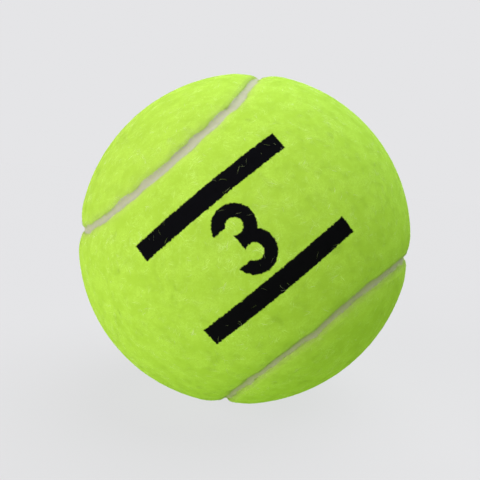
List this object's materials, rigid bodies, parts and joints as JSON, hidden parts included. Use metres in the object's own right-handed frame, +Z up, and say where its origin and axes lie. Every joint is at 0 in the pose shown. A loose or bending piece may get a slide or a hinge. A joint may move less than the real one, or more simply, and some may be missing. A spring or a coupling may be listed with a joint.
{
  "type": "padel ball",
  "caption": "Pressurised padel ball: a hollow rubber core under a cover of interlocking dumbbell felt panels, with one continuous cemented seam sunk between their rolled edges.",
  "frame": {"origin": "centre of the ball", "axes": "-Y out of the middle of the front felt panel, towards the viewer, +Z up; the seam crosses the X and Z axes, and Y is the cover's fourfold turn-and-mirror axis"},
  "size_m": [0.065, 0.0656, 0.065],
  "materials": {
    "felt": "fluorescent yellow-green needled felt with a matted nap",
    "seam": "pale grey-beige vulcanised seam cement, matt",
    "cement": "cured natural-rubber cement, slightly translucent amber",
    "core_rubber": "matt moulded rubber, buffed on the outside"
  },
  "bodies": {
    "root": {"core_half_front": "core_rubber", "core_half_rear": "core_rubber", "core_bond_ring": "cement", "cement_coat_front": "cement", "cement_coat_rear": "cement", "felt_panel_front": "felt", "felt_panel_rear": "felt", "seam_strip": "seam"}
  },
  "joints": []
}
